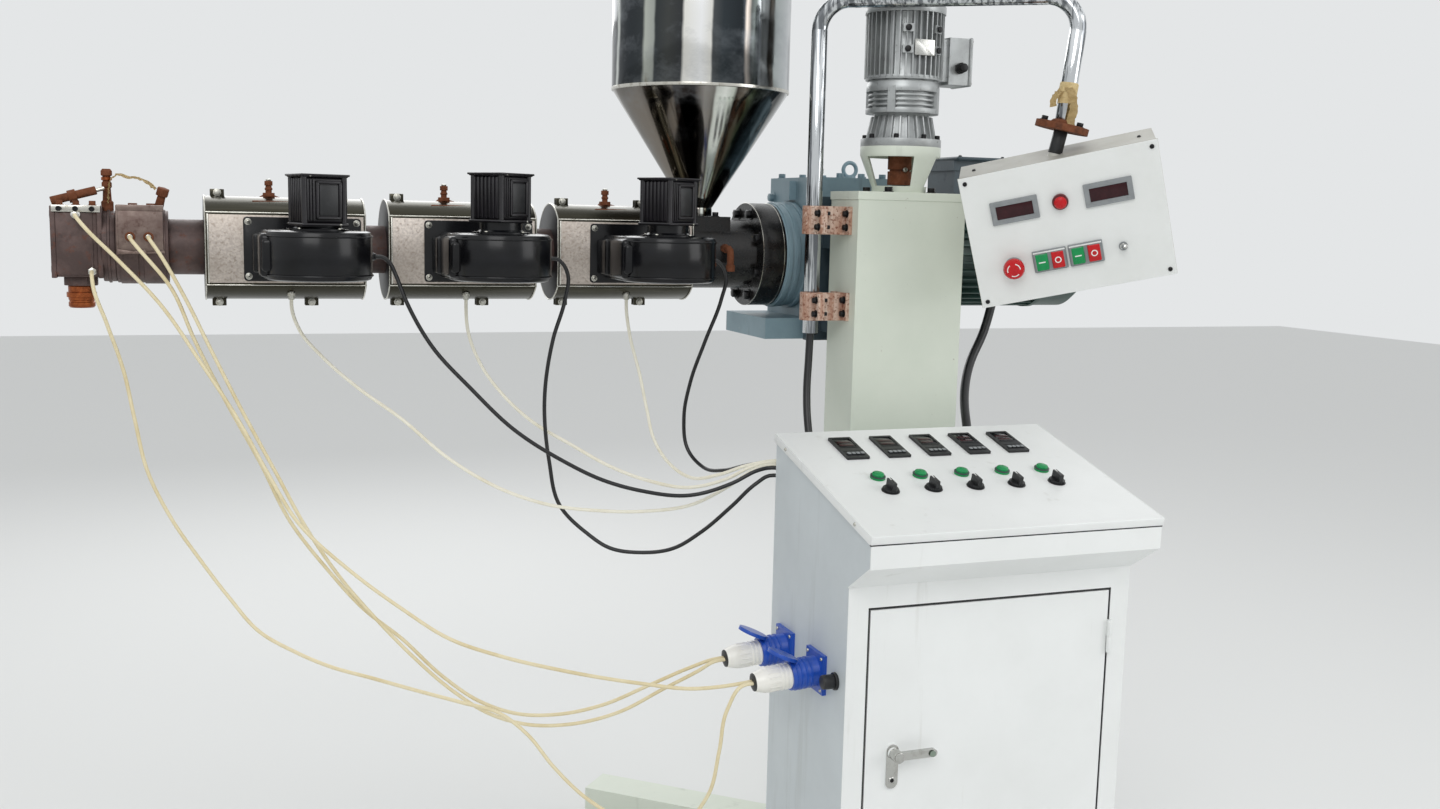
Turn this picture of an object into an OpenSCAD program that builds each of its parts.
// Small plastic extruder carried on a lifting column, with its control cabinet and hanging control box.
// X runs along the barrel from the die to the main motor, Y away from the front of the cabinet, Z up.
// The origin is on the floor under the column, at the centre of the base cross.

/* [Base cross] */
// Length of a leg, from the centre of the cross to its end
leg_l = 686; // [560:1:800]
// Width of a leg
leg_w = 95; // [70:1:120]
// Height of a leg, from the floor to its top face
leg_h = 100; // [70:1:130]
// Angle between a leg and the line of the barrel
leg_turn = 42.5; // [38:0.5:50]

/* [Column] */
// Width of the column
col_w = 250; // [220:1:280]
// Depth of the column, from front to back
col_d = 130; // [115:1:150]
// Height of the column's cap above the floor
col_top = 1541; // [1500:1:1600]
// Thickness of the column's sheet
col_wall = 6; // [4:0.5:8]
// Distance of the column's middle in front of the cross's centre
col_fwd = 45; // [30:1:60]
// Thickness of the cap plate
cap_t = 17; // [10:1:20]
// Width of the slot in the column's back
slot_w = 90; // [76:1:100]
// Diameter of the lifting screw
screw_d = 30; // [24:1:34]
// Width of a guide rail
rail_w = 24; // [18:1:28]
// Depth of a guide rail
rail_d = 22; // [18:1:26]

/* [Lift drive] */
// Diameter of the lantern's top and of the gear unit's flange
lantern_d = 168; // [156:1:180]
// Diameter of the lantern's foot
lantern_foot_d = 114; // [106:1:126]
// Height of the lantern
lantern_h = 94; // [80:1:110]
// Height of the ribbed cone of the gear unit, with its flange
gear_cone_h = 68; // [55:1:80]
// Height of the finned ring of the gear unit
gear_ring_h = 68; // [55:1:80]
// Diameter of the finned ring
gear_ring_d = 152; // [144:1:164]
// Diameter of the lift motor over its fins
lift_motor_d = 163; // [154:1:172]
// Height of the lift motor's finned body
lift_motor_h = 146; // [130:1:170]
// Height of the lift motor's fan cowl
lift_cowl_h = 68; // [50:1:80]

/* [Swing arm] */
// Diameter of the polished tube
tube_d = 33; // [30:1:38]
// Wall of the polished tube
tube_wall = 2; // [1.5:0.25:3]
// Distance of the pole's axis from the column's left face
pole_out = 70; // [60:1:85]
// Height of the pole's lower end
pole_low = 1246; // [1220:1:1260]
// Height of the arm's run, at the tube's axis
arm_z = 1922; // [1900:1:1960]
// Reach of the arm from the pole to the hanging leg
arm_reach = 517; // [495:1:530]
// Direction of the arm, turned from the line of the barrel towards the front
arm_turn = 36.5; // [35.5:0.1:45]
// Radius of the tube's bends at its axis
bend_r = 62; // [50:1:80]
// Angle by which the hanging leg leans in towards the pole
leg_lean = 6; // [4:0.5:9]
// Length of the hanging leg, from the height of the run to the disc
drop_l = 244; // [200:1:280]
// Diameter of the disc at the end of the hanging leg
disc_d = 104; // [90:1:116]
// Angle by which the disc hangs askew on the leg
disc_tilt = 6; // [0:0.5:8]
// Thickness of the disc
disc_t = 13; // [8:1:16]
// Diameter of the black stub under the disc
stub_d = 26; // [20:1:32]
// Height of a clamp on the column
clamp_h = 58; // [45:1:70]
// Height of the upper clamp's middle
clamp_hi = 1480; // [1460:1:1500]
// Height of the lower clamp's middle
clamp_lo = 1302; // [1290:1:1330]

/* [Control box] */
// Width of the control box
box_w = 380; // [360:1:400]
// Height of the control box's face
box_h = 270; // [250:1:285]
// Depth of the control box
box_d = 120; // [100:1:135]
// Turn of the box's face from the line of the barrel
box_turn = 32; // [24:1:36]
// Angle by which the face looks down
box_pitch = 14.6; // [10:0.1:18]
// Angle by which the box hangs askew, right end up
box_roll = 13; // [8:0.1:16]

/* [Cabinet] */
// Width of the cabinet
cab_w = 600; // [560:1:640]
// Depth of the cabinet below the desk
cab_d = 344; // [320:1:380]
// Distance of the cabinet's left side from the column's middle
cab_left = 326; // [306:1:340]
// Distance of the cabinet's back in front of the cross's centre
cab_back = 190; // [180:1:210]
// Height of the desk at its back edge
desk_top_z = 1060; // [1030:1:1100]
// Length of the desk's slope
desk_l = 441; // [410:1:470]
// Slope of the desk
desk_slope = 14.7; // [10:0.1:18]
// Height of the desk's front edge
fascia_h = 60; // [45:1:75]
// Thickness of the cabinet's sheet
sheet = 2; // [1.5:0.1:3]
// Thickness of the desk's folded rim
rim_h = 16; // [12:1:22]
// Height of the door frame's top
frame_top = 835; // [800:1:850]
// Margin of the door frame round the door's opening
frame_margin = 40; // [34:1:50]
// Gap between the door and its frame
door_gap = 5; // [5:0.5:7]
// Depth of the door's folded edges
door_fold = 22; // [16:1:28]
// Diameter of a hinge knuckle
hinge_d = 9; // [8:0.5:11]

/* [Desk controls] */
// Number of heating zones that the desk controls
zones = 5; // [3:1:5]
// Pitch of the instruments across the desk
inst_pitch = 90; // [80:1:96]
// Distance of the first instrument from the desk's left edge
inst_first = 116; // [100:1:120]
// Width of a temperature controller
ctrl_w = 48; // [40:1:60]
// Length of a temperature controller down the slope
ctrl_l = 96; // [80:1:100]
// Diameter of a pilot lamp
lamp_d = 29; // [24:1:32]
// Diameter of a selector knob
knob_d = 29; // [24:1:32]
// Height of a selector knob
knob_h = 20; // [16:1:26]

/* [Side sockets] */
// Side of a socket's square flange
sock_flange = 75; // [66:1:80]
// Diameter of a socket's barrel
sock_d = 56; // [50:1:60]
// Length of a socket's barrel
sock_l = 52; // [44:1:60]
// Angle by which the sockets look down
sock_tilt = 5; // [3:1:10]
// Height of the sockets
sock_z = 647; // [600:1:680]
// Distance of the first socket from the cabinet's back
sock_first = 80; // [70:1:90]
// Distance between the two sockets
sock_pitch = 146; // [130:1:160]
// Diameter of a plug
plug_d = 46; // [40:1:48]
// Length of a plug outside its socket
plug_l = 78; // [66:1:90]

/* [Barrel] */
// Height of the barrel's axis above the floor
axis_z = 1400; // [1390:1:1410]
// Distance of the barrel's axis behind the cross's centre
axis_y = 210; // [205:1:220]
// Diameter of the barrel
barrel_d = 96; // [86:1:100]
// Number of heated zones on the barrel
covers = 3; // [3:1:3]
// Pitch of the heater covers
cover_pitch = 343; // [330:1:360]
// Length of a heater cover
cover_l = 300; // [290:1:312]
// Diameter of a heater cover
cover_d = 200; // [190:1:210]
// Height of the flat on a cover's front
cover_flat = 138; // [128:1:146]
// Distance of the last cover's right end from the cross's centre
cover_end = 392; // [385:1:400]

/* [Blowers] */
// Height of a blower's mounting plate
fan_plate_h = 123; // [110:1:130]
// Distance of the blower's plate from the cover's left end
fan_plate_in = 70; // [60:1:76]
// Thickness of the mounting plate
fan_plate_t = 4; // [3:0.5:6]
// Distance of the blower's axis from the cover's left end
fan_in = 197; // [190:1:204]
// Radius of the blower's drum
fan_r = 98; // [90:1:102]
// Height of the blower's drum
fan_h = 92; // [80:1:100]
// Distance of the drum's axis in front of the cover's flat
fan_out = 131.6; // [126:0.1:136]
// Diameter of the flange that carries the blower's motor
fan_neck_d = 112; // [100:1:130]
// Side of the blower's square motor
fan_motor_w = 88; // [80:1:96]
// Height of the blower's motor
fan_motor_h = 95; // [88:1:104]

/* [Feed and hopper] */
// Length of the feed block, from the last cover to the gearbox
feed_l = 202; // [196:1:206]
// Diameter of the feed block
feed_d = 150; // [140:1:170]
// Diameter of the black bolted flange
flange_d = 226; // [220:1:230]
// Thickness of the black bolted flange
flange_t = 56; // [40:1:60]
// Distance of the hopper's axis from the last cover
hopper_in = 34; // [33:1:44]
// Diameter of the hopper
hopper_d = 384; // [370:1:400]
// Height at which the hopper's cylinder meets its cone
hopper_shoulder = 1750; // [1720:1:1790]
// Height of the hopper's rim
hopper_top = 2090; // [2050:1:2130]
// Diameter of the hopper's outlet
outlet_d = 62; // [56:1:70]
// Height of the hopper's outlet
outlet_z = 1482; // [1478:1:1490]
// Wall of the hopper
hopper_wall = 3; // [2:0.5:4]

/* [Carriage] */
// Width of the carriage's plate
plate_w = 310; // [280:1:330]
// Thickness of the carriage's plate
plate_t = 20; // [16:1:24]
// Width of a guide shoe
shoe_w = 58; // [50:1:66]
// Height of a guide shoe
shoe_h = 60; // [50:1:70]
// Diameter of the lifting nut
nut_d = 60; // [54:1:68]

/* [Gearbox and motor] */
// Diameter of the gearbox's round nose
nose_d = 226; // [220:1:232]
// Length of the gearbox's round nose
nose_l = 57; // [50:1:60]
// Length of the gearbox's housing
gbox_l = 240; // [220:1:260]
// Height of the gearbox's top above the barrel's axis
gbox_up = 172; // [160:1:180]
// Depth of the gearbox's housing, from front to back
gbox_depth = 250; // [240:1:270]
// Depth of the gearbox's foot below the barrel's axis
gbox_down = 180; // [170:1:190]
// Diameter of the main motor over its fins
motor_d = 230; // [215:1:240]
// Length of the main motor's finned body
motor_l = 366; // [340:1:390]
// Length of the main motor's fan cowl
cowl_l = 106; // [90:1:120]

/* [Die] */
// Width of the die block along the barrel
die_w = 88; // [80:1:100]
// Height of the die block
die_h = 133; // [120:1:145]
// Depth of the die block
die_d = 120; // [100:1:130]
// Distance of the die block's left side from the first cover
die_out = 266; // [262:1:270]
// Diameter of the head between the die block and the adapter
head_d = 134; // [126:1:138]
// Diameter of the adapter between the head and the barrel
adapter_d = 106; // [100:1:116]
// Length of the adapter
adapter_l = 63; // [56:1:70]
// Length of the head that the band heater covers
band_l = 93; // [86:1:96]
// Diameter of the nozzle
nozzle_d = 47; // [40:1:52]

/* [Hidden] */
$fn = 64;

run = 0.05;
seat = 0.3;
lap = 2;
bend_thinner = 1;
foot_t = 12;
col_y = -col_fwd;
col_front = col_y - col_d / 2;
col_rear = col_y + col_d / 2;
lift_z = col_top;
gear_z = lift_z + lantern_h;
ring_z = gear_z + gear_cone_h;
lmotor_z = ring_z + gear_ring_h;
lcowl_z = lmotor_z + lift_motor_h;
shelf_z = 860;
shelf_t = 14;
coupling_z = lift_z + 16;
coupling_h = lantern_h - 34;
rail_x = col_w / 2 - 30;
rail_low = 960;
rail_high = col_top - cap_t - 4;

pole_x = -col_w / 2 - pole_out;
pole_y = col_y;
disc_z = arm_z - drop_l * cos(leg_lean);
disc_u = arm_reach - drop_l * sin(leg_lean);
stub_l = 44;
disc_drop = tube_d / 2 * tan(disc_tilt);

fx_l = -cab_left;
fx_r = fx_l + cab_w;
back_y = -cab_back;
face_y = back_y - cab_d;
desk_rise = desk_l * sin(desk_slope);
desk_run = desk_l * cos(desk_slope);
desk_front_z = desk_top_z - desk_rise;
desk_front_y = back_y - desk_run;
door_l = fx_l + frame_margin + door_gap;
door_r = fx_r - frame_margin - door_gap;
door_z0 = leg_h + frame_margin + door_gap;
door_z1 = frame_top - frame_margin - door_gap;
hinge_x = door_r + door_gap / 2;
hinge_y = face_y - hinge_d / 2 - 1;

cover_face = sqrt(pow(cover_d / 2, 2) - pow(cover_flat / 2, 2));
flat_y = axis_y - cover_face;
cover_lip = 2;
fan_drop = 6;
fan_necks = [8, 21, 22];
fan_turns = [14, 34, 30];
cover_top = axis_z + cover_d / 2 + cover_lip;
ear_x = [26, 2 * cover_l / 3];
ear_w = 26;
ear_h = 15;
ear_t = 4;
ear_gap = 10;
barrel_end = -cover_end;
feed_end = barrel_end + feed_l;
hopper_x = barrel_end + hopper_in;
nose_end = feed_end + nose_l;
gbox_end = nose_end + gbox_l;
motor_end = gbox_end + 20 + motor_l;
plate_y = col_rear + rail_d + 18;

hinge_half = 32;
leaf_l = 20;
function hinge_zs() = [door_z0 + 90, door_z1 - 90];
lock_x = fx_l + 98;
lock_z = 493;
lever_z = 520;
lever_l = 80;
under_t = sheet * 1.2;
ctrl_v = 89;
lamp_v = 220;
knob_v = 275;
meter_w = 92;
meter_h = 46;
bezel_t = 5;
bezel_deep = 2;
corner = 2;
meter_u = [97, 277];
meter_v = 82;
lamp_u = 185;
stop_u = 76;
switch_v = 194;
pair_u = [147, 217];

side_knob_y = back_y - 302;
side_knob_z = 650;
plug_in = 20;
plug_taper = 18;
plug_tip_d = 34;
gland_d = 14;
gland_l = 12;
gland_in = 158;
gland_fwd = 50;
cover_low = axis_z - sqrt(pow(cover_d / 2, 2) - pow(gland_fwd, 2));
fan_cable_y = 40;
fan_cable_z = 43;
die_x = cover_x(0) - die_out;
die_z = axis_z + 8 - die_h / 2;
die_cheek = 9;
die_top_exit = [die_x + 44, axis_z + 58];
die_low_exit = [die_x + 69, axis_z - 46];
collar_h = 16;
nozzle_l = 42;
band_x = cover_x(0) - adapter_l - band_l;
band_pin = [26, 58];
band_pin_up = 20;
band_out = 74;
entry_x = -280;
entry_z = 977;
entry_w = 76;
entry_h = 48;
entry_t = 6;
conduit_d = 20;
conduit_x = 330;
conduit_z = axis_z + motor_d / 2 + 40;
conduit_in_x = 152;
conduit_in_z = 1000;
arm_hose_d = 16;
arm_in_x = -212;
arm_in_z = 985;
white_d = 7;
black_d = 8;

// Where each cord leaves or enters a piece, with out as its distance straight off that piece
function plug_end(i, side, out) =
  let (l = sock_l + plug_l + out)
  [fx_l - l * cos(sock_tilt), back_y - sock_first - i * sock_pitch + side * 6, sock_z - l * sin(sock_tilt)];
function die_end(at, out) = [at[0], axis_y - die_d / 2 - gland_l - seat - out, at[1]];
function band_end(i, out) = [band_x + band_pin[i], axis_y - band_out - 12 - seat - out, axis_z + band_pin_up];
function zone_end(i, out) = [cover_x(i) + gland_in, axis_y - gland_fwd, cover_low - gland_l - seat - out];
function fan_end(i, out) = [cover_x(i) + fan_in + fan_r + gland_l + seat + out, flat_y - fan_out + fan_cable_y,
                            axis_z - fan_h / 2 - fan_drop + fan_cable_z];
function entry_end(x, z, out) = [x, back_y + entry_t + out, z];
function back_end(x, z, out) = [x, back_y + gland_l + out, z];
function conduit_end(out) = [conduit_x, axis_y - 62 - 2 * gland_l - seat - out, conduit_z];

// Routes of the cords, end to end
route_die_top = [
  die_end(die_top_exit, 0), die_end(die_top_exit, 12), [-1595, 108, 1452], [-1583, 100, 1437], [-1530, 94, 1380],
  [-1460, 80, 1300], [-1390, 50, 1190], [-1330, 10, 1090], [-1280, -10, 990], [-1230, -40, 900],
  [-1140, -80, 810], [-1050, -120, 740], [-970, -170, 690], [-880, -210, 660], [-780, -260, 640],
  [-650, -330, 625], [-560, -380, 622], plug_end(1, 1, 24), plug_end(1, 1, 0)];
route_band_1 = [
  band_end(0, 0), band_end(0, 12), [-1504, 94, 1414], [-1493, 86, 1400], [-1440, 82, 1330], [-1400, 76, 1230],
  [-1350, 60, 1120], [-1290, 40, 1000], [-1240, 20, 890], [-1170, 0, 790], [-1110, -30, 720], [-1040, -50, 660],
  [-970, -80, 590], [-900, -110, 540], [-830, -130, 515], [-760, -155, 515], [-680, -185, 535],
  [-590, -220, 580], [-520, -252, 618], plug_end(0, 1, 24), plug_end(0, 1, 0)];
route_band_2 = [
  band_end(1, 0), band_end(1, 12), [-1472, 94, 1414], [-1462, 86, 1399], [-1415, 72, 1310], [-1375, 60, 1220],
  [-1325, 42, 1110], [-1264, 20, 985], [-1212, -6, 880], [-1150, -25, 780], [-1090, -50, 705],
  [-1025, -72, 632], [-950, -100, 562], [-890, -125, 522], [-820, -150, 500], [-740, -175, 500],
  [-650, -205, 525], [-570, -238, 575], [-510, -268, 615], plug_end(0, -1, 24), plug_end(0, -1, 0)];
route_die_low = [
  die_end(die_low_exit, 0), die_end(die_low_exit, 12), [-1574, 108, 1347], [-1572, 101, 1329], [-1552, 106, 1262],
  [-1526, 120, 1170], [-1510, 120, 1080], [-1490, 110, 980], [-1450, 90, 890], [-1400, 70, 810],
  [-1350, 40, 740], [-1300, 10, 680], [-1240, -20, 645], [-1180, -50, 620], [-1100, -90, 600],
  [-1020, -130, 580], [-950, -170, 565], [-880, -200, 545], [-835, -230, 510], [-790, -255, 450],
  [-730, -285, 390], [-650, -330, 350], [-580, -370, 355], [-535, -400, 420], [-520, -415, 510],
  [-508, -420, 590], plug_end(1, -1, 24), plug_end(1, -1, 0)];
route_zone_1 = [
  zone_end(0, 0), zone_end(0, 12), [-1205, 155, 1240], [-1165, 140, 1190], [-1100, 120, 1130], [-1020, 90, 1070],
  [-930, 60, 990], [-830, 20, 930], [-740, -10, 900], [-650, -40, 890], [-560, -70, 890], [-470, -100, 905],
  [-400, -126, 945], [-350, -140, 980], [-324, -142, 987], [-303, -151, 988], entry_end(-294, 988, 12),
  entry_end(-294, 988, 0)];
route_zone_2 = [
  zone_end(1, 0), zone_end(1, 12), [-874, 157, 1240], [-850, 145, 1170], [-810, 120, 1110], [-760, 90, 1060],
  [-680, 50, 1010], [-610, 10, 970], [-540, -35, 945], [-470, -72, 935], [-400, -106, 955], [-350, -124, 982],
  [-310, -128, 990], [-289, -137, 990], entry_end(-280, 988, 26), entry_end(-280, 988, 0)];
route_zone_3 = [
  zone_end(2, 0), zone_end(2, 12), [-528, 157, 1235], [-510, 130, 1140], [-500, 110, 1070], [-490, 90, 1010],
  [-465, 50, 960], [-435, 0, 940], [-395, -55, 955], [-350, -98, 980], [-298, -114, 990], [-275, -123, 990],
  entry_end(-266, 988, 40), entry_end(-266, 988, 0)];
route_fan_1 = [
  fan_end(0, 0), fan_end(0, 10), [-1044, 45, 1378], [-1036, 42, 1360], [-1016, 30, 1305], [-970, 15, 1220],
  [-900, -10, 1140], [-820, -40, 1060], [-730, -65, 1000], [-650, -85, 960], [-580, -105, 940],
  [-480, -125, 930], [-400, -146, 955], [-350, -155, 980], [-330, -156, 984], [-314, -163, 985],
  entry_end(-308, 985, 6), entry_end(-308, 985, 0)];
route_fan_2 = [
  fan_end(1, 0), fan_end(1, 10), [-701, 46, 1378], [-693, 46, 1360], [-698, 46, 1310], [-722, 46, 1230],
  [-738, 50, 1110], [-730, 40, 980], [-710, 30, 890], [-660, 0, 835], [-620, -25, 808], [-560, -50, 800],
  [-500, -80, 812], [-450, -104, 848], [-395, -132, 905], [-350, -148, 952], [-323, -150, 967],
  [-308, -157, 968], entry_end(-301, 968, 12), entry_end(-301, 968, 0)];
route_fan_3 = [
  fan_end(2, 0), fan_end(2, 10), [-358, 47, 1378], [-350, 49, 1360], [-358, 52, 1310], [-388, 64, 1220],
  [-408, 95, 1130], [-414, 115, 1050], [-408, 108, 985], [-388, 60, 950], [-366, -10, 955], [-340, -70, 975],
  [-300, -98, 986], [-268, -109, 988], [-256, -122, 987], entry_end(-252, 986, 46), entry_end(-252, 986, 0)];
route_conduit = [
  conduit_end(0), conduit_end(6), [331, 76, 1537], [334, 58, 1495], [324, 56, 1410], [308, 56, 1320],
  [282, 50, 1236], [240, 30, 1172], [195, -25, 1110], [166, -85, 1056], [154, -126, 1016],
  back_end(conduit_in_x, conduit_in_z, 16), back_end(conduit_in_x, conduit_in_z, 0)];
route_arm = [
  [pole_x, pole_y, pole_low + 16], [pole_x, pole_y, pole_low - 10], [-198, -49, 1190], [-204, -58, 1130],
  [-209, -78, 1065], [-212, -115, 1005], back_end(arm_in_x, arm_in_z, 12), back_end(arm_in_x, arm_in_z, 0)];
ring_every = 4;
cord_sides = 8;

function unit(v) = v / norm(v);

// Direction of a route at its point i, closest to that of its shorter neighbour stretch
function heading(p, i) =
  i == 0 ? unit(p[1] - p[0])
  : i == len(p) - 1 ? unit(p[i] - p[i - 1])
  : unit((p[i] - p[i - 1]) / pow(norm(p[i] - p[i - 1]), 2) + (p[i + 1] - p[i]) / pow(norm(p[i + 1] - p[i]), 2));

// Point at share s of a smooth stretch from a to b, which leaves a along ta and meets b along tb
function between(a, ta, b, tb, s) =
  a * (2 * pow(s, 3) - 3 * s * s + 1) + ta * (pow(s, 3) - 2 * s * s + s)
  + b * (3 * s * s - 2 * pow(s, 3)) + tb * (pow(s, 3) - s * s);

// Smooth curve through the points of p, with a point about every step
function smooth(p, step) = [
  for (i = [0 : len(p) - 2])
    let (l = norm(p[i + 1] - p[i]), n = max(1, round(l / step)))
      for (k = [0 : n - 1]) between(p[i], heading(p, i) * l, p[i + 1], heading(p, i + 1) * l, k / n),
  p[len(p) - 1]];

// A rectangle with round corners, centred
module round_rect(w, h, r) {
  square([w - 2 * r, h], center = true);
  square([w, h - 2 * r], center = true);
  for (x = [-1, 1], y = [-1, 1])
    translate([x * (w / 2 - r), y * (h / 2 - r)]) circle(r);
}

// A plain ring standing on the XY plane
module ring(d, hole, h) {
  difference() {
    cylinder(d = d, h = h);
    translate([0, 0, -1]) cylinder(d = hole, h = h + 2);
  }
}

// Children drawn along Z are laid along X on the barrel's axis, starting at x
module on_axis(x) {
  translate([x, axis_y, axis_z]) rotate([0, 90, 0]) children();
}

// Children are placed on the lift drive's axis at a height
module on_lift(z) {
  translate([0, col_y, z]) children();
}

// Children are placed on the desk: x across from its left edge, y down the slope from its back edge
module on_desk(u, v) {
  translate([fx_l + u, back_y, desk_top_z]) rotate([desk_slope, 0, 0]) translate([0, -v, 0]) children();
}

// Children are placed in the arm's own plane, with x along the arm
module on_arm() {
  translate([pole_x, pole_y, 0]) rotate([0, 0, -arm_turn]) children();
}

// Children are placed along the hanging leg, with z up the leg from the disc's top face
module on_leg() {
  on_arm() translate([disc_u, 0, disc_z]) rotate([0, leg_lean, 0]) children();
}

module base_leg(turn) {
  rotate([0, 0, turn]) translate([0, -leg_w / 2, 0]) cube([leg_l, leg_w, leg_h]);
}

module base_cross() {
  color("honeydew")
  for (turn = [leg_turn, 180 - leg_turn, 180 + leg_turn, -leg_turn]) base_leg(turn);
}

module column() {
  inner_w = col_w - 2 * col_wall;
  inner_d = col_d - 2 * col_wall;
  color("honeydew") {
    difference() {
      translate([-col_w / 2, col_front, leg_h]) cube([col_w, col_d, col_top - leg_h]);
      translate([-inner_w / 2, col_front + col_wall, leg_h + foot_t])
        cube([inner_w, inner_d, shelf_z - leg_h - foot_t]);
      translate([-inner_w / 2, col_front + col_wall, shelf_z + shelf_t])
        cube([inner_w, inner_d, col_top - cap_t - shelf_z - shelf_t]);
      translate([-slot_w / 2, col_rear - col_wall - 1, shelf_z + 60])
        cube([slot_w, col_wall + 2, col_top - cap_t - 20 - shelf_z - 60]);
      on_lift(col_top - cap_t - 1) cylinder(d = screw_d + 4, h = cap_t + 2);
    }
    difference() {
      translate([-col_w / 2 - 2, col_front - 2, col_top - cap_t]) cube([col_w + 4, col_d + 4, cap_t]);
      translate([-col_w / 2 + 1, col_front + 1, col_top - cap_t - 1]) cube([col_w - 2, col_d - 2, cap_t + 2]);
    }
    difference() {
      translate([-col_w / 2 - 40, col_front - 35, leg_h]) cube([col_w + 80, col_d + 70, foot_t]);
      translate([-col_w / 2 + 1, col_front + 1, leg_h - 1]) cube([col_w - 2, col_d - 2, foot_t + 2]);
    }
  }
}

module lift_screw() {
  color("silver")
  on_lift(shelf_z + shelf_t) cylinder(d = screw_d, h = coupling_z - shelf_z - shelf_t);
}

module guide_rails() {
  color("silver")
  for (side = [-1, 1])
    translate([side * rail_x - rail_w / 2, col_rear, rail_low]) cube([rail_w, rail_d, rail_high - rail_low]);
}

module lift_lantern() {
  wall = 9;
  rim = 18;
  foot = 10;
  r0 = lantern_foot_d / 2;
  r1 = lantern_d / 2;
  hole = screw_d / 2 + 8;
  win_low = foot + 3;
  win_high = lantern_h - rim - 3;
  color("honeydew")
  on_lift(lift_z)
  difference() {
    rotate_extrude()
      polygon([[hole, 0], [r0, 0], [r0, foot], [r1, lantern_h - rim], [r1, lantern_h], [r1 - 30, lantern_h],
               [r1 - 30, lantern_h - rim + 6], [r1 - wall - 2, lantern_h - rim], [r0 - wall, foot], [hole, foot]]);
    for (turn = [-45, 75, 195])
      rotate([90, 0, turn]) linear_extrude(r1 + 5)
        polygon([[-0.66 * r0, win_low], [0.66 * r0, win_low], [0.6 * r1, win_high], [-0.6 * r1, win_high]]);
  }
}

module lift_coupling() {
  color("sienna")
  on_lift(coupling_z) {
    cylinder(d = 50, h = coupling_h / 2 - 2);
    translate([0, 0, coupling_h / 2 - 2]) cylinder(d = 42, h = 4);
    translate([0, 0, coupling_h / 2 + 2]) cylinder(d = 50, h = coupling_h / 2 - 2);
  }
}

module lift_gear_unit() {
  flange = 16;
  cone_r = lantern_d / 2 - 18;
  cone_top = gear_ring_d / 2 - 16;
  ring_r = gear_ring_d / 2;
  core = ring_r - 14;
  fin = 4;
  fins = [15, 25, 35];
  color("lightgray") {
    on_lift(coupling_z + coupling_h) cylinder(d = 28, h = gear_z - coupling_z - coupling_h + 1);
    on_lift(gear_z)
    rotate_extrude()
      polygon([[0, 0], [lantern_d / 2, 0], [lantern_d / 2, flange], [cone_r, flange], [cone_top - 6, gear_cone_h - 8],
               [cone_top, gear_cone_h], [0, gear_cone_h]]);
    for (turn = [0 : 15 : 345])
      on_lift(gear_z + flange)
        rotate([90, 0, turn]) linear_extrude(3, center = true)
          polygon([[50, -1], [cone_r + 8, -1], [cone_top + 4, gear_cone_h - flange - 6], [50, gear_cone_h - flange - 6]]);
    on_lift(ring_z) {
      cylinder(r = ring_r, h = 10);
      cylinder(r = core, h = 46);
      for (z = fins) translate([0, 0, z]) cylinder(r = ring_r - 5, h = fin);
      translate([0, 0, 44])
        rotate_extrude()
          polygon([[0, 0], [ring_r, 0], [ring_r, 10], [ring_r - 4, gear_ring_h - 44], [0, gear_ring_h - 44]]);
      for (turn = [45 : 90 : 315])
        rotate([0, 0, turn]) translate([core - 2, -8, 1]) cube([ring_r - core + 3, 16, 52]);
    }
  }
}

module lift_motor() {
  core = lift_motor_d / 2 - 13;
  box_l = 52;
  color("silver") {
    on_lift(lmotor_z) {
      cylinder(r = core, h = lift_motor_h);
      cylinder(d = lift_motor_d - 6, h = 8);
      translate([0, 0, lift_motor_h - 12]) cylinder(d = lift_motor_d + 4, h = 12);
      for (turn = [5 : 10 : 355])
        rotate([0, 0, turn]) translate([core - 2, -1.5, 4]) cube([15, 3, lift_motor_h - 10]);
      for (z = [50, 92], turn = [-113, -63])
        rotate([0, 0, turn]) translate([core - 2, -11, z]) cube([17, 22, 16]);
      translate([core - 2, -30, 2]) cube([22, 60, 86]);
    }
    translate([core + 19, col_y - 36, lmotor_z - 4]) cube([box_l, 72, 96]);
    on_lift(lcowl_z)
    rotate_extrude()
      polygon([[0, 0], [lift_motor_d / 2, 0], [lift_motor_d / 2, lift_cowl_h - 14],
               [lift_motor_d / 2 - 10, lift_cowl_h - 4], [lift_motor_d / 2 - 26, lift_cowl_h], [0, lift_cowl_h]]);
  }
}

module pole_clamp(z) {
  barrel = tube_d + 14;
  translate([pole_x, pole_y, z - clamp_h / 2])
  difference() {
    union() {
      cylinder(d = barrel, h = clamp_h);
      translate([0, -barrel / 2, 0]) cube([pole_out - 6, 10, clamp_h]);
      translate([pole_out - 8, -38, 0]) cube([8, 76, clamp_h]);
    }
    translate([0, 0, -1]) cylinder(d = tube_d + 2 * run, h = clamp_h + 2);
  }
}

module pole_clamps() {
  color("peru")
  for (z = [clamp_hi, clamp_lo]) pole_clamp(z);
}

// Cross-section of the polished tube, whose wall is a little thinner in a bend
module tube_section(thinner) {
  difference() {
    circle(d = tube_d - thinner);
    circle(d = tube_d - 2 * tube_wall + thinner);
  }
}

// A straight stretch of the tube along Z, which laps over the bends at its ends
module tube_run(l) {
  translate([0, 0, -lap]) linear_extrude(l + 2 * lap) tube_section(0);
}

// A bend of the tube in the XZ plane, from pointing up to pointing turn degrees towards X
module tube_bend(turn) {
  translate([bend_r, 0, 0]) rotate([90, 0, 0]) rotate([0, 0, 180 - turn])
    rotate_extrude(angle = turn) translate([bend_r, 0]) tube_section(bend_thinner);
}

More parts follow.
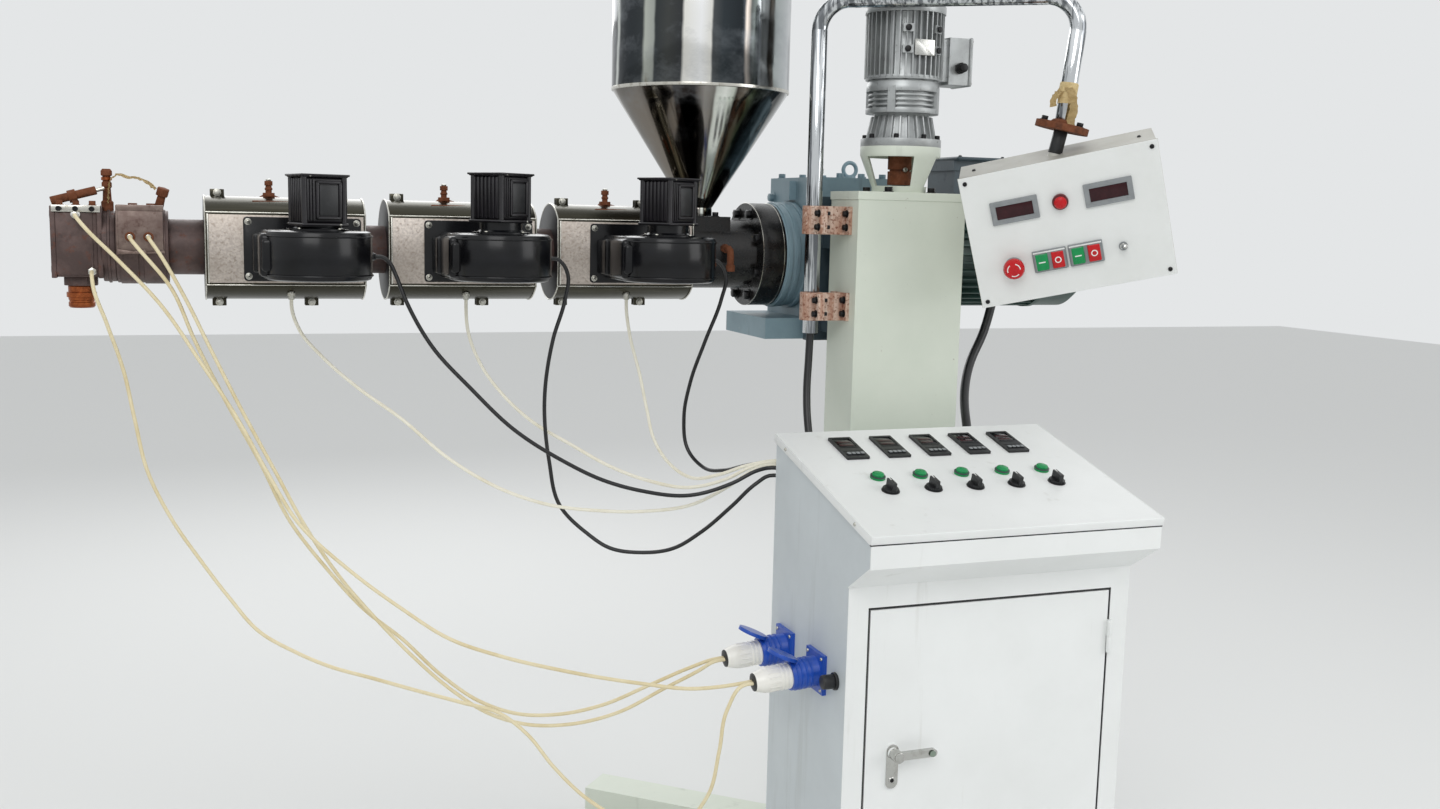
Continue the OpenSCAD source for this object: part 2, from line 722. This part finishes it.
module arm_tube() {
  last_turn = 90 + leg_lean;
  last_bend = bend_r * tan(last_turn / 2);
  color("gainsboro")
  on_arm() {
    translate([0, 0, pole_low + lap]) tube_run(arm_z - bend_r - pole_low - lap);
    translate([0, 0, arm_z - bend_r]) tube_bend(90);
    translate([bend_r, 0, arm_z]) rotate([0, 90, 0]) tube_run(arm_reach - last_bend - bend_r);
    translate([arm_reach - last_bend, 0, arm_z]) rotate([0, 90, 0]) tube_bend(last_turn);
    translate([disc_u, 0, disc_z]) rotate([0, leg_lean, 0]) translate([0, 0, lap]) tube_run(drop_l - last_bend - lap);
  }
}

// Children are placed on the disc's own axis, with z up from its top face
module on_disc() {
  on_leg() rotate([0, disc_tilt, 0]) translate([0, 0, -disc_drop]) children();
}

module arm_disc() {
  color("sienna") {
    on_disc() translate([0, 0, -disc_t]) cylinder(d = disc_d, h = disc_t);
    on_leg() translate([0, 0, -disc_drop - disc_t / 2])
      cylinder(d = tube_d - 2 * tube_wall - 2 * seat, h = 20 + disc_drop + disc_t / 2);
  }
}

// Children are placed on the control box's face: x right and z up from its centre, y into the box
module on_box() {
  on_disc() translate([0, 0, -disc_t - stub_l])
  rotate([0, -leg_lean - disc_tilt, 0]) rotate([0, 0, arm_turn])
  rotate([0, 0, -box_turn]) rotate([box_pitch, 0, 0]) rotate([0, -box_roll, 0])
  translate([0, -box_d / 2, -box_h / 2]) children();
}

module control_box() {
  color("lightgray") {
    on_box() translate([-box_w / 2 + 2, 3, -box_h / 2 + 2]) cube([box_w - 4, box_d - 3, box_h - 4]);
    on_disc() translate([0, 0, -disc_t - seat - stub_l - 12]) cylinder(d = stub_d, h = stub_l + 12);
  }
}

module control_panel() {
  color("whitesmoke")
  on_box() translate([-box_w / 2, 0, -box_h / 2]) cube([box_w, 3, box_h]);
}

// Children are placed on the panel: u right and v down from its top left corner, z out of the face
module on_panel(u, v) {
  on_box() translate([u - box_w / 2, 0, box_h / 2 - v]) rotate([90, 0, 0]) children();
}

module digital_meters() {
  color("dimgray")
  for (u = meter_u)
    on_panel(u, meter_v)
    difference() {
      linear_extrude(bezel_t) round_rect(meter_w, meter_h, corner);
      translate([0, 0, bezel_t - bezel_deep]) linear_extrude(bezel_t) square([meter_w - 20, meter_h - 19], center = true);
    }
}

module box_pilot_lamp() {
  color("red")
  on_panel(lamp_u, meter_v) {
    cylinder(d = 30, h = 6);
    translate([0, 0, 6]) cylinder(d = 25, h = 8);
  }
}

module emergency_stop() {
  color("crimson")
  on_panel(stop_u, switch_v) {
    cylinder(d = 28, h = 16);
    translate([0, 0, 16]) rotate_extrude() polygon([[0, 0], [18, 0], [20, 3], [20, 9], [17, 13], [0, 15]]);
  }
}

module box_switches() {
  color("seagreen") {
    for (u = pair_u)
      on_panel(u, switch_v) {
        linear_extrude(8) round_rect(62, 42, 2);
        for (side = [-1, 1]) translate([side * 18, 0, 8]) linear_extrude(4) square([22, 34], center = true);
      }
    on_panel(288, switch_v) {
      cylinder(d = 17, h = 4);
      translate([0, 0, 4]) cylinder(d = 9, h = 14);
    }
  }
}

// Height of the desk lid's underside at a distance y
function lid_under(y) = desk_top_z - sheet / cos(desk_slope) - (back_y - y) * tan(desk_slope);

// Outline of the cabinet's side, y to the front and z up
module side_outline() {
  front = desk_front_y + sheet + seat;
  polygon([[back_y, leg_h], [back_y, lid_under(back_y) - seat], [front, lid_under(front) - seat],
           [front, desk_front_z - fascia_h + under_t + seat], [face_y + sheet, frame_top + under_t + seat],
           [face_y + sheet, leg_h]]);
}

module cabinet_sides() {
  color("lightgray")
  for (x = [fx_l, fx_r - sheet])
    translate([x, 0, 0]) rotate([90, 0, 90]) linear_extrude(sheet) side_outline();
}

module cabinet_back() {
  color("lightgray") {
    translate([fx_l + sheet, back_y - sheet, leg_h])
      cube([cab_w - 2 * sheet, sheet, lid_under(back_y - sheet) - seat - leg_h]);
    translate([fx_l + sheet, face_y + sheet, leg_h]) cube([cab_w - 2 * sheet, cab_d - sheet, sheet]);
    translate([entry_x - entry_w / 2, back_y - 1, entry_z - entry_h / 2]) cube([entry_w, entry_t + 1, entry_h]);
    translate([conduit_in_x, back_y - 1, conduit_in_z]) rotate([-90, 0, 0])
      cylinder(d = conduit_d + 8, h = gland_l + 1);
    translate([arm_in_x, back_y - 1, arm_in_z]) rotate([-90, 0, 0]) cylinder(d = arm_hose_d + 8, h = gland_l + 1);
  }
}

module door_frame() {
  color("whitesmoke") {
    difference() {
      translate([fx_l, face_y, leg_h]) cube([cab_w, sheet, frame_top - leg_h]);
      translate([fx_l + frame_margin, face_y - 1, leg_h + frame_margin])
        cube([cab_w - 2 * frame_margin, sheet + 2, frame_top - leg_h - 2 * frame_margin]);
    }
    for (z = hinge_zs()) {
      translate([hinge_x, hinge_y, z - hinge_half]) cylinder(d = hinge_d, h = hinge_half - seat);
      translate([hinge_x, hinge_y, z - seat - 1]) cylinder(d = hinge_d / 2, h = hinge_half - 2);
      translate([door_r + door_gap - 1.5, hinge_y, z - hinge_half]) cube([1.5 + run, leaf_l, hinge_half - seat]);
    }
  }
}

module cabinet_door() {
  color("whitesmoke") {
    difference() {
      translate([door_l, face_y, door_z0]) cube([door_r - door_l, door_fold, door_z1 - door_z0]);
      translate([door_l + sheet, face_y + sheet, door_z0 + sheet])
        cube([door_r - door_l - 2 * sheet, door_fold, door_z1 - door_z0 - 2 * sheet]);
    }
    for (z = hinge_zs())
      difference() {
        union() {
          translate([hinge_x, hinge_y, z]) cylinder(d = hinge_d, h = hinge_half);
          translate([door_r - run, hinge_y, z]) cube([1.5 + run, leaf_l, hinge_half]);
        }
        translate([hinge_x, hinge_y, z - 1]) cylinder(d = hinge_d / 2 + 2 * run, h = hinge_half - 1);
      }
    translate([lock_x, face_y, lock_z]) rotate([90, 0, 0]) linear_extrude(4) round_rect(26, 86, 12);
    translate([lock_x, face_y - 4, lever_z]) rotate([90, 0, 0]) cylinder(d = 20, h = 8);
  }
}

module door_lever() {
  y0 = face_y - 12 - seat;
  color("silver")
  translate([lock_x, y0, lever_z]) rotate([90, 0, 0]) {
    cylinder(d = 22, h = 20);
    translate([0, -7, 8]) cube([lever_l - 8, 14, 10]);
    translate([lever_l - 8, 0, 8]) cylinder(d = 14, h = 10);
  }
}

module desk_lid() {
  over = sheet + seat;
  front = desk_front_y + sheet;
  low = desk_front_z - fascia_h;
  color("whitesmoke") {
    translate([fx_l - over, 0, 0]) rotate([90, 0, 90])
      linear_extrude(cab_w + 2 * over)
        polygon([[back_y, desk_top_z], [desk_front_y, desk_front_z], [desk_front_y, low], [face_y, frame_top],
                 [face_y, frame_top + under_t], [front, low + under_t], [front, lid_under(front)],
                 [back_y, lid_under(back_y)]]);
    for (u = [-over, cab_w + seat])
      on_desk(u, 0) translate([0, -desk_l, -rim_h]) cube([sheet, desk_l, rim_h]);
  }
}

module temperature_controllers() {
  color("black")
  for (i = [0 : zones - 1])
    on_desk(inst_first + i * inst_pitch, ctrl_v) translate([0, 0, run]) {
      difference() {
        linear_extrude(bezel_t) round_rect(ctrl_w, ctrl_l, corner);
        translate([0, ctrl_l / 4 - 2, bezel_t - bezel_deep]) linear_extrude(bezel_t) square([ctrl_w - 10, ctrl_l / 2 - 8], center = true);
      }
      for (k = [-1.5 : 1.5])
        translate([k * ctrl_w / 5, -ctrl_l / 3, bezel_t - 1]) linear_extrude(2.5) round_rect(ctrl_w / 5 - 2, 9, 1);
    }
}

module pilot_lamps() {
  color("green")
  for (i = [0 : zones - 1])
    on_desk(inst_first + i * inst_pitch, lamp_v) translate([0, 0, run]) {
      cylinder(d = lamp_d, h = lamp_d / 7);
      rotate_extrude()
        polygon([[0, 0], [lamp_d / 2 - 3, 0], [lamp_d / 2 - 3, lamp_d / 3 - 2], [lamp_d / 4, lamp_d / 3], [0, lamp_d / 3 + 1]]);
    }
}

module selector_knob(i) {
  color("black")
  on_desk(inst_first + i * inst_pitch, knob_v) translate([0, 0, seat]) {
    cylinder(d = knob_d, h = 6);
    translate([-4, -knob_d / 2 + 1, 5]) cube([8, knob_d - 2, knob_h - 5]);
  }
}

module selector_knob_1() { selector_knob(0); }
module selector_knob_2() { selector_knob(1); }
module selector_knob_3() { selector_knob(2); }
module selector_knob_4() { selector_knob(3); }
module selector_knob_5() { selector_knob(4); }

// Children are placed on a side socket's mouth, with z along the plug, away from the cabinet
module on_socket(i) {
  translate([fx_l, back_y - sock_first - i * sock_pitch, sock_z]) rotate([0, -90 - sock_tilt, 0]) children();
}

module side_sockets() {
  flange_t = 8;
  reach = 200;
  color("royalblue") {
    for (i = [0, 1]) {
      translate([fx_l - flange_t, back_y - sock_first - i * sock_pitch - sock_flange / 2, sock_z - sock_flange / 2])
        cube([flange_t, sock_flange, sock_flange]);
      difference() {
        on_socket(i) ring(sock_d, plug_d + 2 * seat, sock_l + flange_t);
        translate([fx_l - flange_t + 3, back_y - 2 * reach, sock_z - reach]) cube([reach, 2 * reach, 2 * reach]);
      }
      on_socket(i) translate([sock_d / 2 - 3, 0, sock_l - 6]) rotate([0, -62, 0])
        translate([sock_d / 2 + 1, 0, -7]) cylinder(d = sock_d + 2, h = 7);
    }
    translate([fx_l, side_knob_y, side_knob_z]) rotate([0, -90, 0]) {
      cylinder(d = 30, h = 4);
      cylinder(d = 24, h = 26);
    }
  }
}

module heater_plug(i) {
  body = sock_l - plug_in + plug_l - plug_taper;
  color("ivory")
  on_socket(i) translate([0, 0, plug_in]) {
    cylinder(d = plug_d, h = body);
    translate([0, 0, body]) cylinder(d1 = plug_d, d2 = plug_tip_d, h = plug_taper, $fn = 48);
  }
}

module heater_plug_1() { heater_plug(0); }
module heater_plug_2() { heater_plug(1); }

module lift_carriage() {
  y0 = col_rear + 4;
  low = axis_z - gbox_down;
  high = axis_z + 130;
  color("darkslategray") {
    translate([-plate_w / 2, plate_y, low]) cube([plate_w, plate_t, high - low]);
    for (side = [-1, 1], z = [axis_z - 130, axis_z + 50])
      translate([side * rail_x, 0, z - shoe_h / 2])
      difference() {
        translate([-shoe_w / 2, y0, 0]) cube([shoe_w, plate_y - y0, shoe_h]);
        translate([-rail_w / 2 - seat, y0 - 1, -1]) cube([rail_w + 2 * seat, col_rear + rail_d + seat - y0 + 1, shoe_h + 2]);
      }
    difference() {
      union() {
        translate([-nut_d / 2, col_y, axis_z - 70]) cube([nut_d, plate_y - col_y, nut_d]);
        on_lift(axis_z - 70) cylinder(d = nut_d, h = nut_d);
      }
      on_lift(axis_z - 71) cylinder(d = screw_d + 2 * run, h = nut_d + 2);
    }
  }
}

module barrel() {
  x0 = cover_x(0) - adapter_l;
  color("dimgray") {
    on_axis(x0) cylinder(d = barrel_d, h = barrel_end - x0);
    on_axis(x0) cylinder(d = adapter_d, h = adapter_l - seat);
  }
}

// Left end of a heater cover, counted from the die
function cover_x(i) = -cover_end - cover_l - (covers - 1 - i) * cover_pitch;

module cover_section(d, cut) {
  difference() {
    circle(d = d);
    translate([-d, -d - cut]) square([2 * d, d]);
  }
}

module heater_cover(i) {
  on_axis(cover_x(i))
  difference() {
    union() {
      linear_extrude(cover_l) cover_section(cover_d, cover_face);
      for (z = [0, cover_l - 2 * cover_lip])
        translate([0, 0, z]) linear_extrude(2 * cover_lip) cover_section(cover_d + 2 * cover_lip, cover_face);
    }
    translate([0, 0, -1]) cylinder(d = barrel_d + 2 * seat, h = cover_l + 2);
  }
  for (x = ear_x, side = [-1, 1], y = [-ear_gap / 2 - ear_t, ear_gap / 2])
    translate([cover_x(i) + x, axis_y + y, axis_z + side * (cover_d / 2 - 2)])
      rotate([-90, 0, 0]) linear_extrude(ear_t) cover_ear(-side);
}

// Outline of a clamp ear that stands out from a cover's seam
module cover_ear(side) {
  square_h = ear_h - 4;
  translate([-ear_w / 2, side > 0 ? 0 : -square_h]) square([ear_w, square_h]);
  translate([0, side * square_h]) round_rect(ear_w - 8, 12, 5);
}

module heater_covers() {
  color("silver")
  for (i = [0 : covers - 1]) {
    heater_cover(i);
    translate([cover_x(i) + gland_in, axis_y - gland_fwd, cover_low - gland_l]) cylinder(d = gland_d, h = gland_l + 8);
  }
}

// Children are placed at the blower of a zone: z up, from the drum's bottom centre
module at_fan(i) {
  translate([cover_x(i) + fan_in, flat_y - fan_out, axis_z - fan_h / 2 - fan_drop]) children();
}

// A blower's scroll: a drum with rolled seams, and its stepped mouth that reaches back to the plate
module fan_scroll(neck) {
  seam = 7;
  rotate_extrude()
    polygon([[0, 0], [fan_r - seam, 0], [fan_r, seam], [fan_r, seam + 2], [fan_r + 1.5, seam + 2], [fan_r + 1.5, seam + 5],
             [fan_r, seam + 5], [fan_r, fan_h - seam - 5], [fan_r + 1.5, fan_h - seam - 5], [fan_r + 1.5, fan_h - seam - 2],
             [fan_r, fan_h - seam - 2], [fan_r, fan_h - seam], [fan_r - seam, fan_h], [0, fan_h]]);
  translate([-fan_r + 1, 0, 1]) cube([2 * fan_r - 2, fan_out - fan_plate_t, fan_h - 2]);
  translate([-fan_r - 8, -34, 6]) cube([54, fan_out - fan_plate_t + 34, fan_h - 12]);
  translate([-fan_r - 5, -42, 15]) cube([37, 60, fan_h - 30]);
  translate([-fan_r - 14, fan_out - 46, 10]) cube([22, 46 - fan_plate_t, fan_h - 20]);
  cylinder(d = fan_neck_d, h = fan_h + 3);
  cylinder(d = fan_neck_d - 28, h = fan_h + neck);
  translate([fan_r - 2, fan_cable_y, fan_cable_z]) rotate([0, 90, 0]) cylinder(d = gland_d, h = gland_l + 2);
}

module blower_volutes() {
  plate_l = cover_l - fan_plate_in - 10;
  color("black")
  for (i = [0 : covers - 1]) {
    translate([cover_x(i) + fan_plate_in, flat_y - fan_plate_t, axis_z - fan_plate_h / 2])
      cube([plate_l, fan_plate_t, fan_plate_h]);
    at_fan(i) fan_scroll(fan_necks[i % len(fan_necks)]);
  }
}

// A blower's square motor: end caps, corner posts, side ribs and a framed front
module fan_motor() {
  half = fan_motor_w / 2;
  cap = 6;
  in_h = fan_motor_h - 2 * cap + 2;
  for (z = [0, fan_motor_h - cap]) translate([0, 0, z]) linear_extrude(cap) round_rect(fan_motor_w, fan_motor_w, 5);
  translate([0, 0, cap - 1]) linear_extrude(in_h) round_rect(fan_motor_w - 10, fan_motor_w - 10, 8);
  for (x = [-1, 1], y = [-1, 1])
    translate([x * (half - 7), y * (half - 7), cap - 1]) cylinder(r = 5.5, h = in_h);
  for (side = [-1, 1], k = [-2.5 : 2.5])
    translate([side * (half - 6) - 3.5, k * (half - 14) / 2.5 - 2, cap + 1]) cube([7, 4, in_h - 4]);
  difference() {
    translate([-half + 12, -half + 1, 12]) cube([fan_motor_w - 24, 8, fan_motor_h - 24]);
    translate([-half + 18, -half, 18]) cube([fan_motor_w - 36, 4, fan_motor_h - 36]);
  }
}

module blower_motors() {
  color("black")
  for (i = [0 : covers - 1])
    at_fan(i) translate([0, 0, fan_h + fan_necks[i % len(fan_necks)]]) rotate([0, 0, fan_turns[i % len(fan_turns)]]) fan_motor();
}

module thermocouples() {
  color("sienna")
  for (i = [0 : covers - 1])
    translate([cover_x(i) + 122, axis_y, axis_z + cover_d / 2 + seat]) {
      cylinder(d = 22, h = 8, $fn = 6);
      translate([0, 0, 8]) cylinder(d = 15, h = 26);
    }
}

module feed_block() {
  pad = 112;
  color("dimgray") {
    difference() {
      union() {
        on_axis(barrel_end) cylinder(d = feed_d, h = feed_l - flange_t);
        translate([barrel_end + seat, axis_y - pad / 2, axis_z])
          cube([hopper_in + pad / 2 - seat, pad, outlet_z - axis_z - seat]);
      }
      translate([hopper_x, axis_y, axis_z]) cylinder(d = outlet_d - 8, h = 200);
    }
    on_axis(feed_end - flange_t) cylinder(d = flange_d, h = flange_t);
  }
}

module hopper() {
  r = hopper_d / 2;
  o = outlet_d / 2;
  w = hopper_wall;
  share = (hopper_in - o) / (r - o);
  cone_z = (cover_top + 3 - share * hopper_shoulder) / (1 - share);
  spout = [[o - w, outlet_z], [o, outlet_z], [o, cone_z - seat], [o - w, cone_z + 1 - seat]];
  cone = [[o, cone_z], [r, hopper_shoulder], [r - w, hopper_shoulder + 1], [o - w, cone_z + 1]];
  shell = [[r, hopper_shoulder + seat], [r, hopper_top], [r - w, hopper_top], [r - w, hopper_shoulder + 1 + seat]];
  color("gainsboro")
  translate([hopper_x, axis_y, 0])
  for (sheet_part = [spout, cone, shell]) rotate_extrude() polygon(sheet_part);
}

module hopper_lid() {
  r = hopper_d / 2;
  color("gainsboro")
  translate([hopper_x, axis_y, hopper_top])
  rotate_extrude()
    polygon([[0, 12], [r - 30, 6], [r + 2, 0], [r + 2, 2], [r - 30, 9], [14, 15], [14, 34], [0, 34]]);
}

module gearbox() {
  y0 = plate_y + plate_t;
  color("cadetblue") {
    on_axis(feed_end) cylinder(d = nose_d, h = nose_l);
    translate([nose_end, y0, axis_z - gbox_down + 45])
      cube([gbox_l, axis_y + gbox_depth / 2 - y0, gbox_up + gbox_down - 45]);
    translate([feed_end - 46, y0 + 20, axis_z - gbox_down])
      cube([gbox_end - feed_end + 46, axis_y + gbox_depth / 2 - y0 - 20, 45]);
    translate([nose_end - 16, axis_y - 20, axis_z + gbox_up - 50]) cube([16, 40, 42]);
    translate([8, axis_y, axis_z + gbox_up]) {
      cylinder(d = 28, h = 7);
      translate([0, 0, 22]) rotate([90, 0, 0]) rotate_extrude() translate([16, 0]) circle(d = 9);
    }
  }
}

module main_motor() {
  core = motor_d / 2 - 14;
  x0 = gbox_end;
  color("darkgreen") {
    on_axis(x0) cylinder(d = motor_d + 10, h = 20);
    on_axis(x0 + 20) {
      cylinder(r = core, h = motor_l);
      for (turn = [5 : 10 : 355])
        rotate([0, 0, turn]) translate([core - 2, -1.75, 6]) cube([16, 3.5, motor_l - 12]);
      cylinder(r = core + 10, h = 14);
      translate([0, 0, motor_l - 14]) cylinder(r = core + 16, h = 14);
    }
    on_axis(motor_end)
    rotate_extrude()
      polygon([[0, 0], [motor_d / 2 - 1, 0], [motor_d / 2 - 1, cowl_l - 24], [motor_d / 2 - 12, cowl_l - 8],
               [motor_d / 2 - 34, cowl_l], [0, cowl_l]]);
  }
}

module motor_terminal_box() {
  color("darkslategray")
  translate([gbox_end + 138, axis_y - 62, axis_z + motor_d / 2 + seat]) {
    cube([122, 124, 84]);
    translate([-6, -6, 84]) cube([134, 136, 26]);
    translate([conduit_x - gbox_end - 138, 0, 40]) rotate([90, 0, 0]) cylinder(d = conduit_d + 8, h = gland_l * 2);
  }
}

module band_heater() {
  skin = 2;
  color("rosybrown") {
    on_axis(band_x) {
      cylinder(d = head_d, h = band_l - seat);
      for (at = [[6, 34], [48, 40]]) translate([0, 0, at[0]]) cylinder(d = head_d + 2 * skin, h = at[1]);
    }
    translate([band_x + 4, axis_y - band_out, axis_z - 9]) cube([80, 46, 86]);
    translate([band_x + 2, axis_y - band_out - 1.5, axis_z - 13]) cube([84, 8, 6]);
    for (x = band_pin)
      translate([band_x + x, axis_y - band_out, axis_z + band_pin_up]) rotate([90, 0, 0]) {
        cylinder(d = 18, h = 4);
        cylinder(d = 12, h = 12);
      }
  }
}

module die_block() {
  front = axis_y - die_d / 2;
  color("sienna") {
    for (x = [0, die_w - die_cheek]) translate([die_x + x, front, die_z]) cube([die_cheek, die_d, die_h]);
    translate([die_x + die_cheek - 1, front + 3, die_z + 2]) cube([die_w - 2 * die_cheek + 2, die_d - 6, die_h - 4]);
    translate([die_x + 3, front - 3, die_z + die_h - 11]) cube([die_w - 5, 37, 12.5]);
    on_axis(die_x + die_w - 1) cylinder(d = head_d, h = band_x - die_x - die_w + 1 - seat);
    on_axis(die_x + die_w + 6) cylinder(d = head_d + 5, h = 6);
    translate([die_x + die_w / 2 + 2, axis_y, die_z - collar_h]) rotate([0, 0, 30]) cylinder(d = 64, h = collar_h + 4, $fn = 6);
    for (at = [die_top_exit, die_low_exit])
      translate([at[0], front + 5, at[1]]) rotate([90, 0, 0]) cylinder(d = gland_d, h = gland_l + 5);
  }
}

module die_nozzle() {
  r = nozzle_d / 2;
  groove = 2;
  color("peru")
  translate([die_x + die_w / 2 + 2, axis_y, die_z - collar_h - nozzle_l])
  rotate_extrude()
    polygon([[0, 4], [11, 0], [r - 3, 0], [r, 3], [r, 10], [r - groove, 11], [r - groove, 14], [r, 15], [r, 18],
             [r + 3, 19], [r + 3, 28], [r, 29], [r, nozzle_l], [0, nozzle_l]]);
}

// One free cord of diameter d along a route
module cord(route, d) {
  p = smooth(route, ring_every * d);
  n = len(p);
  last = len(route) - 1;
  dirs = [for (i = [0 : n - 1])
    i == 0 ? unit(route[1] - route[0])
    : i == n - 1 ? unit(route[last] - route[last - 1])
    : unit(p[i + 1] - p[i - 1])];
  sides = [for (i = 0, v = cross(dirs[0], [1, 2, 3]); i < n;
                i = i + 1, v = v - dirs[min(i, n - 1)] * (v * dirs[min(i, n - 1)])) unit(v)];
  polyhedron(
    points = [for (i = [0 : n - 1], k = [0 : cord_sides - 1])
      p[i] + d / 2 * (sides[i] * cos(360 * k / cord_sides) + cross(dirs[i], sides[i]) * sin(360 * k / cord_sides))],
    faces = concat(
      [[for (k = [0 : cord_sides - 1]) k]],
      [[for (k = [cord_sides - 1 : -1 : 0]) (n - 1) * cord_sides + k]],
      [for (i = [0 : n - 2], k = [0 : cord_sides - 1]) let (j = (k + 1) % cord_sides)
        [i * cord_sides + k, (i + 1) * cord_sides + k, (i + 1) * cord_sides + j, i * cord_sides + j]]),
    convexity = 10);
}

module die_top_cable() {
  color("white") cord(route_die_top, white_d);
}

module band_cable_1() {
  color("white") cord(route_band_1, white_d);
}

module band_cable_2() {
  color("white") cord(route_band_2, white_d);
}

module die_low_cable() {
  color("white") cord(route_die_low, white_d);
}

module zone_cable_1() {
  color("white") cord(route_zone_1, white_d);
}

module zone_cable_2() {
  color("white") cord(route_zone_2, white_d);
}

module zone_cable_3() {
  color("white") cord(route_zone_3, white_d);
}

module blower_cable_1() {
  color("black") cord(route_fan_1, black_d);
}

module blower_cable_2() {
  color("black") cord(route_fan_2, black_d);
}

module blower_cable_3() {
  color("black") cord(route_fan_3, black_d);
}

module motor_conduit() {
  color("black") cord(route_conduit, conduit_d);
}

module arm_conduit() {
  color("black") cord(route_arm, arm_hose_d);
}

base_cross();
column();
lift_screw();
guide_rails();
lift_lantern();
lift_coupling();
lift_gear_unit();
lift_motor();
pole_clamps();
arm_tube();
arm_disc();
control_box();
control_panel();
digital_meters();
box_pilot_lamp();
emergency_stop();
box_switches();
cabinet_sides();
cabinet_back();
door_frame();
desk_lid();
cabinet_door();
door_lever();
temperature_controllers();
pilot_lamps();
selector_knob_1();
selector_knob_2();
selector_knob_3();
selector_knob_4();
selector_knob_5();
side_sockets();
heater_plug_1();
heater_plug_2();
lift_carriage();
barrel();
heater_covers();
blower_volutes();
blower_motors();
thermocouples();
feed_block();
hopper();
hopper_lid();
gearbox();
main_motor();
motor_terminal_box();
band_heater();
die_block();
die_nozzle();
die_top_cable();
band_cable_1();
band_cable_2();
die_low_cable();
zone_cable_1();
zone_cable_2();
zone_cable_3();
blower_cable_1();
blower_cable_2();
blower_cable_3();
motor_conduit();
arm_conduit();
